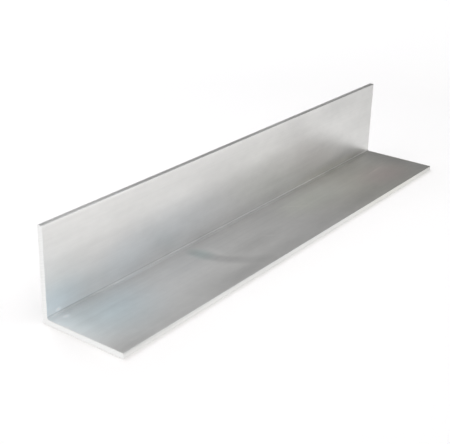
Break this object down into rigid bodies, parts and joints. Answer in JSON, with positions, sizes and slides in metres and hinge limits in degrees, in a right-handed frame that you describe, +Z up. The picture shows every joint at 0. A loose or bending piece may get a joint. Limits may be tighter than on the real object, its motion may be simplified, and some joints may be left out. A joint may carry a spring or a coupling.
{
  "type": "metal angle section",
  "caption": "Straight length of equal-leg aluminium angle in mill finish, L-shaped in section with a small root fillet and square sawn ends, for framing, brackets and edging.",
  "frame": {"origin": "on the resting face, under the middle of the flat leg, half way along the bar", "axes": "+X runs along the bar, +Y from the toe of the flat leg to the back of the upright leg, +Z up"},
  "size_m": [0.3, 0.05, 0.05],
  "materials": {
    "mill_aluminium": "mill finish as extruded, satin, with faint lengthwise die lines and bright sawn ends"
  },
  "bodies": {
    "root": {"angle_section": "mill_aluminium"}
  },
  "joints": []
}
